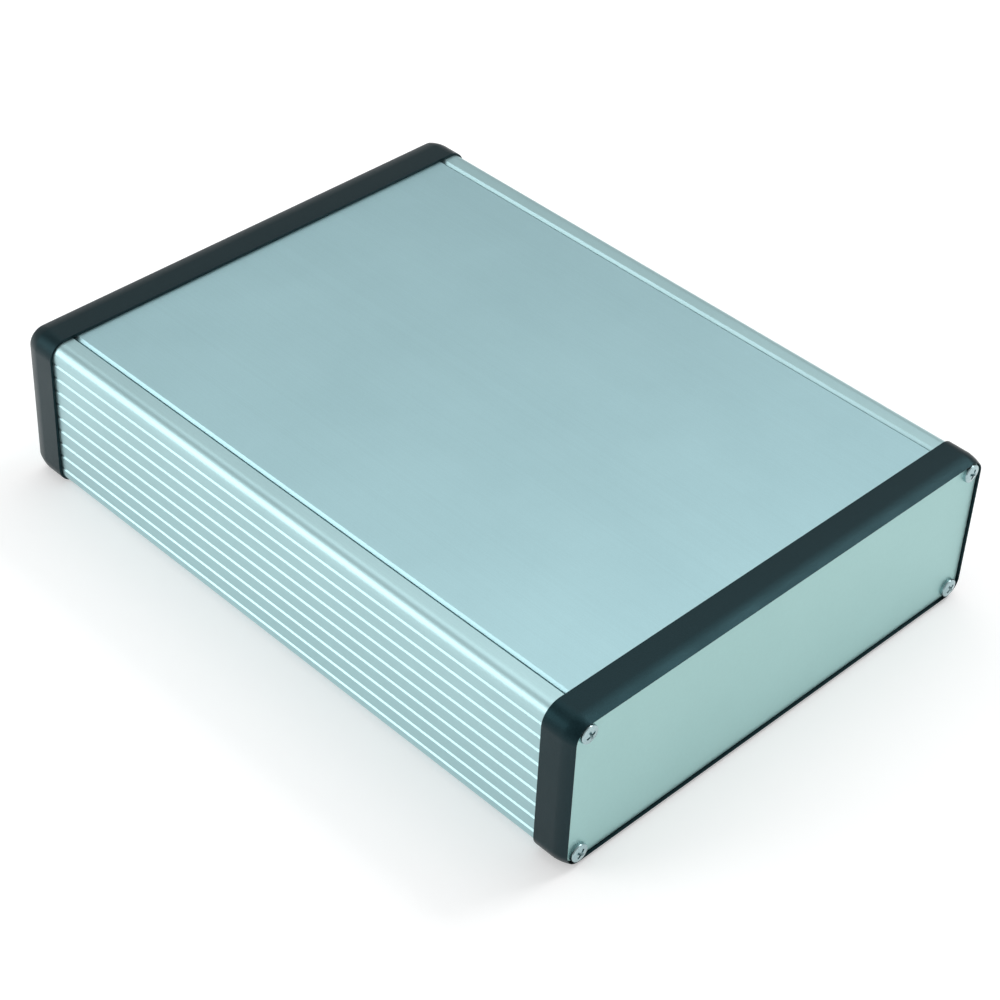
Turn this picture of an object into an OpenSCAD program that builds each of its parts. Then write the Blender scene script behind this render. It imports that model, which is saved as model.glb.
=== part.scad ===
// Extruded aluminium instrument enclosure: a grooved channel closed by a sliding top cover,
// with a moulded bezel, a flat end panel and four screws at each end.
// X runs across the width, Y along the extrusion and Z up. The front panel faces -Y.
// The origin is at the middle of the footprint, on the surface that the bezels stand on.
// Sizes are in millimetres.

/* [Body extrusion] */
// Outside width of the body
body_width = 163; // [130:0.5:220]
// Outside height of the body with its cover shut
body_height = 49.5; // [44:0.5:80]
// Length that the body is cut to
body_length = 213; // [100:1:400]
// Radius of the four long outside corners
body_corner = 4.2; // [3.2:0.1:5]
// Thickness of the side walls
side_wall = 1.35; // [1.2:0.05:2.4]
// Thickness of the floor
floor_wall = 1.8; // [1.4:0.1:3]

/* [Side grooves] */
// Depth of each V groove, which is twice as wide as it is deep
groove_depth = 0.5; // [0.3:0.05:0.7]
// Distance from one groove to the next
groove_pitch = 4.8; // [3:0.1:8]
// Least height left plain above and below the row of grooves
groove_margin = 5.5; // [4.5:0.1:9]

/* [Board slots] */
// Height of the slot that a circuit board slides in
slot_height = 1.8; // [1.4:0.1:2.6]
// Distance from one board slot to the next
slot_pitch = 7.5; // [6:0.1:12]
// Height of the lowest slot above the underside of the body
slot_first = 9.6; // [9.5:0.1:14]
// How far the rails stand out from the side wall
rail_depth = 3; // [2:0.1:4]
// Thickness of each rail
rail_thickness = 1.3; // [1:0.1:1.5]

/* [Screw ports] */
// Distance from the screw axis to the side of the body
port_side = 4.7; // [4.6:0.1:6]
// Distance from the screw axis to the top or underside of the body
port_edge = 3.5; // [3.4:0.1:4]
// Radius of the port that the screw cuts its thread in
port_bore = 1.5; // [1.2:0.05:1.7]
// Thickness of the wall round the port
port_wall = 1.9; // [1.4:0.1:2.2]
// Width of the slit along each port
port_slit = 1; // [0.6:0.1:1.6]

/* [Top cover] */
// Thickness of the cover plate
cover_thickness = 2; // [1.6:0.1:2.6]
// Width of the thicker bead along each edge of the cover
bead_width = 4.9; // [3:0.1:8]
// Thickness of the tongue that slides under the body's lip
tongue_thickness = 1.4; // [1:0.1:1.8]
// How far the tongue stands out from the cover's edge
tongue_reach = 1.2; // [0.8:0.1:1.5]
// Thickness of the lip above the tongue
lip_thickness = 1.5; // [1.3:0.1:2]
// Thickness of the ledge under the tongue
ledge_thickness = 1.5; // [1.2:0.1:2]
// Width of the ledge that the cover's edge runs over
ledge_width = 2.6; // [1.5:0.1:5]
// Metal left between the tongue's groove and the screw port
groove_wall = 1; // [0.6:0.1:1.4]
// Chamfer along both sides of the seam between cover and body
seam_chamfer = 0.8; // [0.4:0.1:1.1]
// Open gap between the cover's edge and the body's lip
seam_gap = 0.3; // [0.2:0.05:0.5]
// Clearance of the tongue above, below and at its tip
tongue_clearance = 0.15; // [0.1:0.05:0.3]
// Clearance between each end of the cover and the bezel
cover_end_clearance = 0.2; // [0.1:0.1:1]

/* [Bezels] */
// How far a bezel stands out from the body all round
bezel_overhang = 1; // [0.8:0.1:2]
// Extra corner radius of a bezel over a corner that follows the body
bezel_corner_extra = 0.8; // [0:0.1:0.9]
// Length of body that a bezel's lip laps over
bezel_lap = 6.5; // [3:0.1:12]
// Clearance between the lip and the body
lap_clearance = 0.15; // [0.1:0.05:0.3]
// Thickness of the bezel's web, between the body and the end panel
web_thickness = 2.2; // [1.5:0.1:4]
// How far the rim stands in front of the end panel
rim_height = 0.9; // [0.5:0.1:2]
// Width of the rim, from the outside of the bezel to the panel's recess
rim_width = 1.25; // [1:0.05:2.5]
// Width of the flat land left on top of the rim
rim_land = 0.12; // [0.05:0.01:0.4]
// Depth of the rounded zone at the front, ahead of the parting line
nose_depth = 4.45; // [3:0.05:5]
// Angle that the rounded zone starts at on the parting line
nose_break = 5; // [0:0.5:8]
// Width of the web left along the top and bottom of the window
window_edge = 3.2; // [2.5:0.1:8]
// Width of the web left along the sides of the window
window_side = 4; // [3:0.1:10]
// Radius of the web's pad round each screw hole
pad_radius = 4.4; // [3.5:0.1:6]

/* [End panels] */
// Thickness of the aluminium panel
panel_thickness = 1.5; // [1:0.1:2]
// Gap between the panel's edge and the rim
panel_clearance = 0.15; // [0.1:0.05:0.4]
// Radius of the panel's front edge
panel_edge = 0.25; // [0.1:0.05:0.6]

/* [Screws] */
// Radius of the screw's shank
shank_radius = 1.45; // [1.15:0.05:1.65]
// Length of the screw under its head
screw_length = 16; // [8:0.5:25]
// Diameter of the pan head
head_diameter = 5.8; // [4.6:0.1:6.2]
// Height of the pan head
head_height = 1.6; // [1.2:0.1:2.2]
// Width of the wings of the cross recess
recess_width = 0.75; // [0.5:0.05:1]
// Length across the cross recess
recess_span = 3.4; // [2.4:0.1:3.8]
// Depth of the cross recess
recess_depth = 1; // [0.6:0.1:1.1]
// Clearance round the shank in the panel and the bezel
hole_clearance = 0.2; // [0.1:0.05:0.4]

/* [Hidden] */
$fn = 72;
eps = 0.01;
// Height of the body's underside above the surface that the bezels stand on
body_base = bezel_overhang;
body_middle = body_base + body_height / 2;
inner_half = body_width / 2 - side_wall;
// Screw ports
port_x = body_width / 2 - port_side;
port_radius = port_bore + port_wall;
// Tongue and groove of the cover, from the screw port inwards
groove_x = port_x - port_bore - groove_wall;
cover_half = groove_x - tongue_clearance - tongue_reach;
lip_x = cover_half + seam_gap;
tongue_top = lip_thickness + tongue_clearance;
tongue_bottom = tongue_top + tongue_thickness;
groove_bottom = tongue_bottom + tongue_clearance;
cover_length = body_length - 2 * cover_end_clearance;
// Rows that repeat
groove_count = floor((body_height - 2 * groove_margin) / groove_pitch) + 1;
slot_band = slot_height / 2 + rail_thickness;
slot_ceiling = body_height - max(groove_bottom + ledge_thickness, port_edge + port_radius) - slot_band;
slot_count = floor((slot_ceiling - slot_first) / slot_pitch) + 1;
// Bezel, measured outwards from the rear edge of its lip
bezel_width = body_width + 2 * bezel_overhang;
bezel_height = body_height + 2 * bezel_overhang;
bezel_corner = body_corner + bezel_overhang + bezel_corner_extra;
seat_depth = bezel_lap + web_thickness;
panel_face = seat_depth + panel_thickness;
bezel_depth = panel_face + rim_height;
lip_plane = body_length / 2 - bezel_lap;
// Rounded zone: one arc from the parting line to the land on the rim
parting = bezel_depth - nose_depth;
nose_drop = rim_width - rim_land;
nose_chord = sqrt(nose_depth * nose_depth + nose_drop * nose_drop);
nose_radius = nose_chord / (2 * sin(atan(nose_drop / nose_depth) - nose_break));
// Panel and its recess
recess_corner = bezel_corner - rim_width;
panel_width = bezel_width - 2 * (rim_width + panel_clearance);
panel_height = bezel_height - 2 * (rim_width + panel_clearance);
panel_corner = recess_corner - panel_clearance;
// Where the screws stand, and how far each cross recess is turned
port_z = body_height / 2 - port_edge;
screw_places = [[-port_x, port_z], [port_x, port_z], [port_x, -port_z], [-port_x, -port_z]];
screw_turns = [22, 68, 35, 51];

body_extrusion();
top_cover();
front_bezel();
front_panel();
front_screws();
rear_bezel();
rear_panel();
rear_screws();

// ---- flat outlines ----

// A rectangle with rounded corners, centred
module rounded_rect(width, height, radius) {
    square([width - 2 * radius, height], center = true);
    square([width, height - 2 * radius], center = true);
    for (sx = [-1, 1], sy = [-1, 1])
        translate([sx * (width / 2 - radius), sy * (height / 2 - radius)])
            circle(r = radius);
}

// A rectangle from one corner to the other
module block(x0, y0, x1, y1) {
    translate([x0, y0])
        square([x1 - x0, y1 - y0]);
}

// Both sides of something drawn on the right
module both_sides() {
    children();
    mirror([1, 0])
        children();
}

// ---- body section, with its underside on the X axis ----

module body_outline() {
    translate([0, body_height / 2])
        rounded_rect(body_width, body_height, body_corner);
}

// One pair of rails with rounded tips, and the board slot between them
module rail_pair() {
    tip = inner_half - rail_depth + rail_thickness / 2;
    for (side = [-1, 1])
        translate([0, side * (slot_height + rail_thickness) / 2]) {
            block(tip, -rail_thickness / 2, inner_half + eps, rail_thickness / 2);
            translate([tip, 0])
                circle(d = rail_thickness);
        }
}

// Round wall of a screw port and the web that ties it to the corner of the body
module port_body() {
    circle(r = port_radius);
    block(0, -port_edge, port_side, port_radius);
}

// Bore of a port, open to the inside along a slit
module port_hole() {
    circle(r = port_bore);
    block(-port_slit / 2, 0, port_slit / 2, port_radius + eps);
}

// Something drawn about the lower port, and again upside down about the upper one
module both_ports() {
    translate([port_x, port_edge])
        children();
    translate([port_x, body_height - port_edge])
        mirror([0, 1])
            children();
}

// One V groove in the side wall
module side_groove() {
    rotate(45)
        square(groove_depth * sqrt(2), center = true);
}

// The right half of the metal inside the outline
module section_right() {
    block(0, 0, body_width / 2, floor_wall);
    block(inner_half, 0, body_width / 2, body_height);
    both_ports()
        port_body();
    // lip over the tongue and ledge under it
    block(lip_x, body_height - lip_thickness, port_x, body_height);
    block(groove_x - tongue_reach - ledge_width, body_height - groove_bottom - ledge_thickness,
          port_x, body_height - groove_bottom);
    block(groove_x, body_height - groove_bottom - eps, port_x, body_height);
    for (i = [0:slot_count - 1])
        translate([0, slot_first + i * slot_pitch])
            rail_pair();
}

// The right half of what is cut away
module section_cuts() {
    both_ports()
        port_hole();
    block(lip_x - 1, body_height - groove_bottom, groove_x, body_height - lip_thickness);
    // chamfer on the lip, beside the seam
    polygon([[lip_x - 1, body_height + 1], [lip_x - 1, body_height - seam_chamfer - 1],
             [lip_x, body_height - seam_chamfer], [lip_x + seam_chamfer + 1, body_height + 1]]);
    for (i = [0:groove_count - 1])
        translate([body_width / 2, body_height / 2 + (i - (groove_count - 1) / 2) * groove_pitch])
            side_groove();
}

module body_section() {
    difference() {
        intersection() {
            body_outline();
            both_sides()
                section_right();
        }
        both_sides()
            section_cuts();
    }
}

module body_extrusion() {
    color("silver")
        translate([0, 0, body_base])
            rotate([90, 0, 0])
                linear_extrude(height = body_length, center = true)
                    body_section();
}

// ---- top cover ----

module cover_half_section() {
    difference() {
        union() {
            block(0, body_height - cover_thickness, cover_half, body_height);
            block(cover_half - bead_width, body_height - tongue_bottom, cover_half, body_height);
            block(cover_half - eps, body_height - tongue_bottom,
                  cover_half + tongue_reach, body_height - tongue_top);
        }
        // chamfer on the cover, beside the seam
        polygon([[cover_half - seam_chamfer, body_height], [cover_half - seam_chamfer, body_height + 1],
                 [cover_half + 1, body_height + 1], [cover_half + 1, body_height - seam_chamfer],
                 [cover_half, body_height - seam_chamfer]]);
    }
}

module top_cover() {
    color("lightgray")
        translate([0, 0, body_base])
            rotate([90, 0, 0])
                linear_extrude(height = cover_length, center = true)
                    both_sides()
                        cover_half_section();
}

// ---- slabs with a shaped edge: the child is the edge's profile, standing at X = 0 ----

module edged_slab(width, height, corner, depth) {
    straight_x = width - 2 * corner;
    straight_y = height - 2 * corner;
    translate([-straight_x / 2, -straight_y / 2, 0])
        cube([straight_x, straight_y, depth]);
    for (side = [0, 180])
        rotate(side) {
            translate([0, height / 2, 0])
                rotate([90, 0, 90])
                    linear_extrude(height = straight_x, center = true)
                        children();
            translate([width / 2, 0, 0])
                rotate([90, 0, 0])
                    linear_extrude(height = straight_y, center = true)
                        children();
            translate([straight_x / 2, straight_y / 2, 0])
                quarter_turn(corner, depth)
                    children();
            translate([-straight_x / 2, straight_y / 2, 0])
                rotate(90)
                    quarter_turn(corner, depth)
                        children();
        }
}

// A corner of such a slab: the profile turned a quarter about the corner's centre
module quarter_turn(corner, depth) {
    rotate_extrude(angle = 90)
        intersection() {
            translate([corner, 0])
                children();
            square([corner + 1, depth]);
        }
}

// ---- bezel, with its lip's rear edge at Z = 0 and its rim at Z = bezel_depth ----

// Straight lip up to the parting line, then the rounded nose up to the land on the rim
module bezel_edge() {
    block(-bezel_corner, 0, 0, parting);
    block(-bezel_corner, parting, -nose_drop, bezel_depth);
    intersection() {
        block(-nose_drop, parting, 0, bezel_depth);
        translate([-nose_radius * cos(nose_break), parting - nose_radius * sin(nose_break)])
            circle(r = nose_radius, $fn = 180);
    }
}

// Opening through the web, which leaves a pad round each screw
module window_outline() {
    wide = inner_half - window_side;
    tall = body_height / 2 - window_edge;
    difference() {
        square([2 * wide, 2 * tall], center = true);
        for (place = screw_places)
            translate(place) {
                circle(r = pad_radius);
                block(place[0] > 0 ? 0 : -port_side, -pad_radius,
                      place[0] > 0 ? port_side : 0, pad_radius);
                block(-pad_radius, place[1] > 0 ? 0 : -port_edge,
                      pad_radius, place[1] > 0 ? port_edge : 0);
            }
    }
}

module bezel() {
    difference() {
        edged_slab(bezel_width, bezel_height, bezel_corner, bezel_depth)
            bezel_edge();
        translate([0, 0, -1])
            linear_extrude(height = bezel_lap + 1)
                rounded_rect(body_width + 2 * lap_clearance, body_height + 2 * lap_clearance,
                             body_corner + lap_clearance);
        linear_extrude(height = bezel_depth)
            window_outline();
        translate([0, 0, seat_depth])
            linear_extrude(height = bezel_depth)
                rounded_rect(bezel_width - 2 * rim_width, bezel_height - 2 * rim_width, recess_corner);
        for (place = screw_places)
            translate([place[0], place[1], 0])
                cylinder(r = shank_radius + hole_clearance, h = bezel_depth);
    }
}

// ---- end panel, with its back on Z = 0 ----

module panel_edge_profile() {
    block(-panel_corner, 0, 0, panel_thickness - panel_edge);
    block(-panel_corner, panel_thickness - panel_edge, -panel_edge, panel_thickness);
    translate([-panel_edge, panel_thickness - panel_edge])
        intersection() {
            circle(r = panel_edge);
            square(panel_edge);
        }
}

module panel() {
    difference() {
        edged_slab(panel_width, panel_height, panel_corner, panel_thickness)
            panel_edge_profile();
        for (place = screw_places)
            translate([place[0], place[1], -1])
                cylinder(r = shank_radius + hole_clearance, h = panel_thickness + 2);
    }
}

// ---- pan-head screw, with the underside of its head on Z = 0 ----

module head_profile() {
    edge = head_height * 0.6;
    radius = head_diameter / 2;
    square([radius, head_height - edge]);
    square([radius - edge, head_height]);
    translate([radius - edge, head_height - edge])
        intersection() {
            circle(r = edge);
            square(edge);
        }
}

// Pan head, a little domed on top
module head() {
    dome = head_diameter * 1.5;
    intersection() {
        rotate_extrude()
            head_profile();
        translate([0, 0, head_height - dome])
            sphere(r = dome, $fn = 180);
    }
}

// One pair of wings of the cross, narrower at the bottom than at the top
module recess_wings() {
    rotate([90, 0, 0])
        linear_extrude(height = recess_width, center = true)
            polygon([[-recess_span / 2, 0.5], [-recess_span / 2, 0], [-recess_span / 4, -recess_depth],
                     [recess_span / 4, -recess_depth], [recess_span / 2, 0], [recess_span / 2, 0.5]]);
}

module screw() {
    point = shank_radius * 0.6;
    difference() {
        union() {
            head();
            translate([0, 0, point - screw_length])
                cylinder(r = shank_radius, h = screw_length - point + eps);
            translate([0, 0, -screw_length])
                cylinder(r1 = shank_radius - point, r2 = shank_radius, h = point);
        }
        translate([0, 0, head_height]) {
            recess_wings();
            rotate(90)
                recess_wings();
        }
    }
}

module screws() {
    for (i = [0:3])
        translate([screw_places[i][0], screw_places[i][1], 0])
            rotate(screw_turns[i])
                screw();
}

// ---- the two ends ----

// Carries what is drawn in the bezel's own place to the front end
module to_front() {
    translate([0, -lip_plane, body_middle])
        rotate([90, 0, 0])
            children();
}

module to_rear() {
    rotate([0, 0, 180])
        to_front()
            children();
}

module front_bezel() {
    color("dimgray")
        to_front()
            bezel();
}

module front_panel() {
    color("gainsboro")
        to_front()
            translate([0, 0, seat_depth])
                panel();
}

module front_screws() {
    color("lightsteelblue")
        to_front()
            translate([0, 0, panel_face])
                screws();
}

module rear_bezel() {
    color("dimgray")
        to_rear()
            bezel();
}

module rear_panel() {
    color("gainsboro")
        to_rear()
            translate([0, 0, seat_depth])
                panel();
}

module rear_screws() {
    color("lightsteelblue")
        to_rear()
            translate([0, 0, panel_face])
                screws();
}
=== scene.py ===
import math

import bmesh
import bpy
from mathutils import Matrix, Vector

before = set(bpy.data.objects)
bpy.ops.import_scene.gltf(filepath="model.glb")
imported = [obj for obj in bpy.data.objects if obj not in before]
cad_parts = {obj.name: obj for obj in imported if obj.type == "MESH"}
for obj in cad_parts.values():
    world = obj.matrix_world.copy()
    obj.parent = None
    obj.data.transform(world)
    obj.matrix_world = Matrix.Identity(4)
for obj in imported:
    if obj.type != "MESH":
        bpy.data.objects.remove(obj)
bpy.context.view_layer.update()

MM = 0.001
BODY_LENGTH = 213 * MM
CLOSED_HEIGHT = 51.5 * MM

# The screws' axes, from the middle of the panel.
SCREW_SIDE = 76.8 * MM
SCREW_RISE = 21.3 * MM

# The rolled thread reaches a little past the body's ends and fades out there.
THREAD_PITCH = 1.3 * MM
THREAD_RELIEF = 1.1 * MM
THREAD_REACH = 0.6 * MM
THREAD_FADE = 0.3 * MM

# Cells of noise to the metre.
EXTRUSION_LINES_ALONG = 1.2
METAL_CLOUDS = 22.0
METAL_TOOTH = 5200.0
PLASTIC_GRAIN = 2600.0
PLASTIC_PATCHES = 90.0
ZINC_BRUSHING = 1800.0

# How high the finishes' fine relief stands.
METAL_RELIEF = 0.01 * MM
PLASTIC_RELIEF = 0.06 * MM

# Facets that meet at less than this angle, in degrees, belong to one arc.
ARC_ANGLE = 24
SAME_POINT = 0.002 * MM

WHITE = (1.0, 1.0, 1.0, 1.0)
FLOOR_GREY = (0.8, 0.8, 0.8, 1.0)
FLOOR_GLOW = 0.35
FLOOR_HALF_WIDTH = 6.0
FLOOR_DROP = 0.05 * MM
WORLD_LIGHT = 0.5
WORLD_SEEN = 1.0

SENSOR_WIDTH = 36.0
NEAREST_SEEN = 0.05
FARTHEST_SEEN = 30.0


class Wire:
    """The outlet of a node, with arithmetic that adds Math nodes."""

    def __init__(self, network, socket):
        self.network = network
        self.socket = socket

    def _math(self, operation, *terms):
        return self.network.node("ShaderNodeMath", {"operation": operation}, *terms)

    def __add__(self, other):
        return self._math("ADD", self, other)

    def __radd__(self, other):
        return self._math("ADD", other, self)

    def __sub__(self, other):
        return self._math("SUBTRACT", self, other)

    def __rsub__(self, other):
        return self._math("SUBTRACT", other, self)

    def __mul__(self, other):
        return self._math("MULTIPLY", self, other)

    def __rmul__(self, other):
        return self._math("MULTIPLY", other, self)

    def __truediv__(self, other):
        return self._math("DIVIDE", self, other)

    def __rtruediv__(self, other):
        return self._math("DIVIDE", other, self)

    def __abs__(self):
        return self._math("ABSOLUTE", self)

    def sign(self):
        return self._math("SIGN", self)

    def fraction(self):
        return self._math("FRACT", self)

    def atan2(self, other):
        return self._math("ARCTAN2", self, other)

    def most(self, other):
        return self._math("MAXIMUM", self, other)

    def beside(self, name):
        """Another outlet of the same node."""
        return Wire(self.network, self.socket.node.outputs[name])


class Network:
    """A tree of nodes, and the one way in which nodes are added to it."""

    def __init__(self, tree):
        self.tree = tree

    def node(self, kind, settings, *values, outlet=0, **links):
        """A new node's outlet. Values go to inlets in order, links by name, and None to none."""
        made = self.tree.nodes.new(kind)
        for setting, value in settings.items():
            setattr(made, setting, value)
        named = [(name.replace("_", " "), value) for name, value in links.items()]
        for inlet, value in [*enumerate(values), *named]:
            if isinstance(value, Wire):
                self.join(value, made.inputs[inlet])
            elif value is not None:
                made.inputs[inlet].default_value = value
        return Wire(self, made.outputs[outlet]) if made.outputs else None

    def join(self, wire, inlet):
        self.tree.links.new(wire.socket, inlet)

    def standing(self, kind):
        """The node of this type that the tree came with."""
        return next(node for node in self.tree.nodes if node.type == kind)

    def range(self, value, low, high, to_low=0.0, to_high=1.0):
        """The value's range low..high moved to to_low..to_high, held at its ends."""
        return self.node("ShaderNodeMapRange", {"clamp": True}, value, low, high, to_low, to_high)


class Finish(Network):
    """A material for one of the part's surfaces, worked out from its node's own coordinates."""

    def __init__(self, name, **constants):
        self.material = bpy.data.materials.new(name)
        self.material.use_nodes = True
        super().__init__(self.material.node_tree)
        self.shader = self.standing("BSDF_PRINCIPLED")
        for name_of_inlet, value in constants.items():
            self.shader.inputs[name_of_inlet.replace("_", " ")].default_value = value

    def place(self):
        """Object coordinates, in metres, and their three parts."""
        spot = self.node("ShaderNodeTexCoord", {}, outlet="Object")
        across = self.node("ShaderNodeSeparateXYZ", {}, spot)
        return spot, across, across.beside("Y"), across.beside("Z")

    def stretched(self, spot, x, y, z):
        """The coordinates scaled by x, y and z: grain runs along the smallest of them."""
        return self.node("ShaderNodeMapping", {}, spot, Scale=(x, y, z))

    def noise(self, spot, scale, detail=2.0, roughness=0.5):
        return self.node("ShaderNodeTexNoise", {"noise_dimensions": "3D"},
                         Vector=spot, Scale=scale, Detail=detail, Roughness=roughness)

    def between(self, factor, first, second):
        """A colour between the two, by the factor."""
        inlets_of_other_types = [None] * 5
        return self.node("ShaderNodeMix", {"data_type": "RGBA"},
                         factor, *inlets_of_other_types, first, second, outlet=2)

    def bump(self, height, distance, strength):
        return self.node("ShaderNodeBump", {}, Strength=strength, Distance=distance,
                         Height=height)

    def feed(self, name_of_inlet, wire):
        self.join(wire, self.shader.inputs[name_of_inlet])


def shade(red, green, blue):
    """A colour on the usual scale of 0 to 255, turned to the linear values that shaders take."""
    linear = []
    for part in (red / 255, green / 255, blue / 255):
        linear.append(part / 12.92 if part <= 0.04045 else ((part + 0.055) / 1.055) ** 2.4)
    return (*linear, 1.0)


def anodised(name, dark, light, roughness, grain):
    """Etched and anodised aluminium: faint clouds, extrusion lines along Y, a fine even tooth."""
    finish = Finish(name, Metallic=0.9, Specular_IOR_Level=0.5)
    spot, _, _, _ = finish.place()
    drawn = finish.stretched(spot, grain, EXTRUSION_LINES_ALONG, grain)
    lines = finish.noise(drawn, 1.0, detail=3.0, roughness=0.6)
    clouds = finish.noise(spot, METAL_CLOUDS, detail=4.0, roughness=0.6)
    tooth = finish.noise(spot, METAL_TOOTH, detail=1.0)
    tint = finish.range(0.3 * lines + 0.35 * clouds + 0.35 * tooth, 0.2, 0.8)
    finish.feed("Base Color", finish.between(tint, dark, light))
    finish.feed("Roughness", finish.range(0.5 * lines + 0.5 * tooth, 0.3, 0.7,
                                          roughness - 0.02, roughness + 0.03))
    finish.feed("Normal", finish.bump(0.3 * lines + tooth, METAL_RELIEF, strength=0.5))
    return finish.material


def moulded_plastic():
    """Black ABS with a fine spark-eroded grain."""
    finish = Finish("black_abs", Specular_IOR_Level=0.34, Specular_Tint=(0.3, 0.85, 1.0, 1.0))
    spot, _, _, _ = finish.place()
    grain = finish.noise(spot, PLASTIC_GRAIN, detail=3.0, roughness=0.65)
    patches = finish.noise(spot, PLASTIC_PATCHES, detail=3.0)
    finish.feed("Base Color", finish.between(finish.range(grain, 0.35, 0.65),
                                             shade(5, 13, 15), shade(14, 26, 30)))
    finish.feed("Roughness", finish.range(0.6 * grain + 0.4 * patches, 0.3, 0.7, 0.3, 0.42))
    finish.feed("Normal", finish.bump(grain, PLASTIC_RELIEF, strength=0.8))
    return finish.material


def zinc_plate():
    """Bright zinc on the screws, with a rolled thread behind each head."""
    finish = Finish("bright_zinc", Metallic=1.0)
    spot, across, along, up = finish.place()
    brushed = finish.noise(spot, ZINC_BRUSHING, detail=3.0)
    finish.feed("Base Color", finish.between(brushed, shade(146, 172, 176), shade(186, 208, 211)))
    finish.feed("Roughness", finish.range(brushed, 0.3, 0.7, 0.2, 0.32))
    side = abs(across) - SCREW_SIDE
    rise = up - CLOSED_HEIGHT / 2
    hand = across.sign() * rise.sign() / math.tau
    turn = (abs(rise) - SCREW_RISE).atan2(side) * hand
    crest = abs((along / THREAD_PITCH + turn).fraction() - 0.5)
    inward = BODY_LENGTH / 2 + THREAD_REACH - abs(along)
    on_shank = finish.range(inward, 0.0, THREAD_FADE)
    finish.feed("Normal", finish.bump(crest * on_shank, THREAD_RELIEF, strength=1.0))
    return finish.material


BODY_METAL = anodised("satin_anodised_body", dark=shade(163, 196, 200),
                      light=shade(186, 219, 222), roughness=0.38, grain=2400.0)
COVER_METAL = anodised("satin_anodised_cover", dark=shade(158, 193, 199),
                       light=shade(179, 215, 221), roughness=0.42, grain=2400.0)
PANEL_METAL = anodised("satin_anodised_panel", dark=shade(168, 205, 203),
                       light=shade(183, 219, 217), roughness=0.5, grain=900.0)
BLACK_PLASTIC = moulded_plastic()
BRIGHT_ZINC = zinc_plate()

NODE_FINISH = {
    "body_extrusion": BODY_METAL,
    "top_cover": COVER_METAL,
    "front_bezel": BLACK_PLASTIC,
    "rear_bezel": BLACK_PLASTIC,
    "front_panel": PANEL_METAL,
    "rear_panel": PANEL_METAL,
    "front_screws": BRIGHT_ZINC,
    "rear_screws": BRIGHT_ZINC,
}


def rounded_shading(angle):
    """A modifier's group that shades a surface's facets round where they meet below the angle."""
    group = bpy.data.node_groups.new("rounded_shading", "GeometryNodeTree")
    for way in ("INPUT", "OUTPUT"):
        group.interface.new_socket("Geometry", in_out=way, socket_type="NodeSocketGeometry")
    steps = Network(group)
    solid = steps.node("NodeGroupInput", {})
    joined = steps.node("GeometryNodeMergeByDistance", {}, Geometry=solid, Distance=SAME_POINT)
    smooth = steps.node("GeometryNodeSetShadeSmooth", {"domain": "FACE"}, Geometry=joined)
    crease = steps.node("GeometryNodeInputMeshEdgeAngle", {}, outlet="Unsigned Angle")
    steep = steps.node("FunctionNodeCompare",
                       {"data_type": "FLOAT", "operation": "GREATER_THAN"},
                       crease, math.radians(angle))
    creased = steps.node("GeometryNodeSetShadeSmooth", {"domain": "EDGE"},
                         Geometry=smooth, Selection=steep, Shade_Smooth=False)
    steps.node("NodeGroupOutput", {}, creased)
    return group


soft_shading = rounded_shading(ARC_ANGLE)
for node_name, finish in NODE_FINISH.items():
    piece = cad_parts[node_name]
    piece.data.materials.clear()
    piece.data.materials.append(finish)
    piece.modifiers.new("rounded_shading", "NODES").node_group = soft_shading
    piece.modifiers.new("even_flats", "WEIGHTED_NORMAL").keep_sharp = True


def white_ground():
    """White where it is seen, darkened where the object shades it, and clear from below."""
    ground = Finish("pale_floor", Base_Color=FLOOR_GREY, Roughness=0.9,
                    Specular_IOR_Level=0.0, Emission_Color=WHITE)
    path = ground.node("ShaderNodeLightPath", {}, outlet="Is Camera Ray")
    seen = path.most(path.beside("Is Glossy Ray")).most(path.beside("Is Transmission Ray"))
    ground.feed("Emission Strength", seen * FLOOR_GLOW)
    below = ground.node("ShaderNodeNewGeometry", {}, outlet="Backfacing")
    clear = ground.node("ShaderNodeBsdfTransparent", {})
    sheet = ground.node("ShaderNodeMixShader", {},
                        below, Wire(ground, ground.shader.outputs[0]), clear)
    ground.join(sheet, ground.standing("OUTPUT_MATERIAL").inputs["Surface"])
    return ground.material


def floor_sheet():
    """One plain sheet under the object."""
    shape = bmesh.new()
    bmesh.ops.create_grid(shape, x_segments=1, y_segments=1, size=FLOOR_HALF_WIDTH)
    bmesh.ops.translate(shape, vec=(0.0, 0.0, -FLOOR_DROP), verts=shape.verts)
    sheet = bpy.data.meshes.new("studio_floor")
    shape.to_mesh(sheet)
    shape.free()
    sheet.materials.append(white_ground())
    floor = bpy.data.objects.new("studio_floor", sheet)
    bpy.context.scene.collection.objects.link(floor)


def studio_world():
    """Even pale surroundings, brighter to the eye than as a light."""
    world = bpy.data.worlds.new("studio_world")
    bpy.context.scene.world = world
    world.use_nodes = True
    air = Network(world.node_tree)
    backdrop = air.standing("BACKGROUND")
    path = air.node("ShaderNodeLightPath", {}, outlet="Is Camera Ray")
    seen = path.most(path.beside("Is Transmission Ray"))
    backdrop.inputs["Color"].default_value = WHITE
    air.join(air.range(seen, 0.0, 1.0, WORLD_LIGHT, WORLD_SEEN), backdrop.inputs["Strength"])


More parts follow.
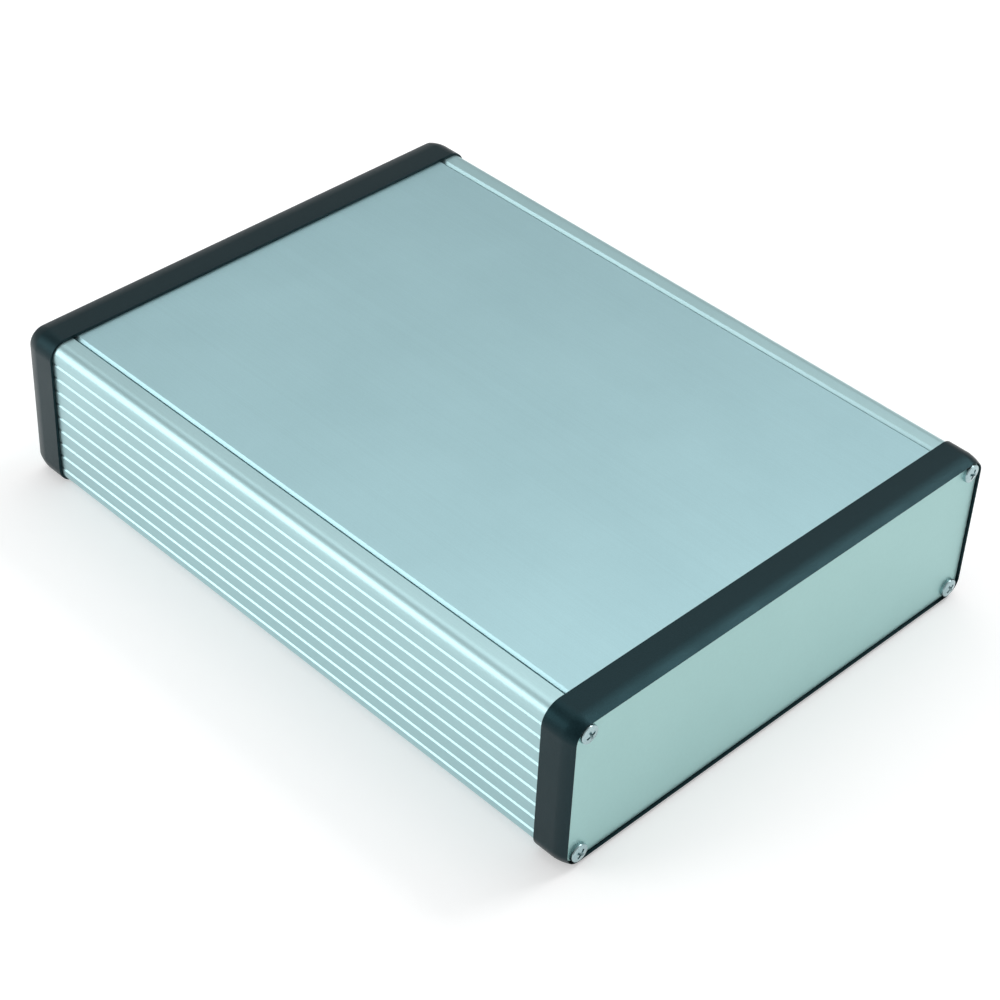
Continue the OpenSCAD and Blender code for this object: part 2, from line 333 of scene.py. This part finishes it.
def soft_lamp(name, place, aim, wide, high, power):
    """A rectangular soft box that points at the aim."""
    lamp = bpy.data.lights.new(name, "AREA")
    lamp.shape = "RECTANGLE"
    lamp.size = wide
    lamp.size_y = high
    lamp.energy = power
    stand = bpy.data.objects.new(name, lamp)
    stand.location = place
    stand.rotation_euler = (Vector(aim) - Vector(place)).to_track_quat("-Z", "Y").to_euler()
    bpy.context.scene.collection.objects.link(stand)


def studio_camera(azimuth, elevation, roll, focal, aim_x, aim_y, distance):
    """The camera, aimed at a spot on the floor.

    It is turned about the upright axis, lifted and rolled, in degrees. The focal length is in
    sensor widths, and the spot and the distance are in millimetres.
    """
    turn, lift, lean = (math.radians(angle) for angle in (azimuth, elevation, roll))
    back = Vector((math.sin(turn) * math.cos(lift), -math.cos(turn) * math.cos(lift),
                   math.sin(lift)))
    right = Vector((math.cos(turn), math.sin(turn), 0.0))
    over = back.cross(right)
    side = right * math.cos(lean) + over * math.sin(lean)
    top = over * math.cos(lean) - right * math.sin(lean)
    lens = bpy.data.cameras.new("studio_camera")
    lens.sensor_width = SENSOR_WIDTH
    lens.lens = SENSOR_WIDTH * focal
    lens.clip_start = NEAREST_SEEN
    lens.clip_end = FARTHEST_SEEN
    camera = bpy.data.objects.new("studio_camera", lens)
    spot = Vector((aim_x, aim_y, 0.0)) * MM + back * distance * MM
    turned = Matrix((side, top, back)).transposed().to_4x4()
    camera.matrix_world = Matrix.Translation(spot) @ turned
    bpy.context.scene.collection.objects.link(camera)
    bpy.context.scene.camera = camera


floor_sheet()
studio_world()
soft_lamp("overhead_box", place=(0.36, 0.34, 1.28), aim=(0.0, 0.0, 0.02),
          wide=1.3, high=1.1, power=4.8)
soft_lamp("groove_box", place=(-1.08, 0.80, 0.64), aim=(0.0, 0.0, 0.02),
          wide=0.9, high=0.9, power=6.4)
soft_lamp("nose_box", place=(0.84, -0.25, 1.15), aim=(0.0, -0.05, 0.03),
          wide=0.42, high=0.35, power=4.6)
studio_camera(azimuth=-46.360, elevation=39.445, roll=3.032, focal=2.56646,
              aim_x=11.438, aim_y=7.655, distance=772.712)
bpy.context.scene.view_settings.view_transform = "Standard"
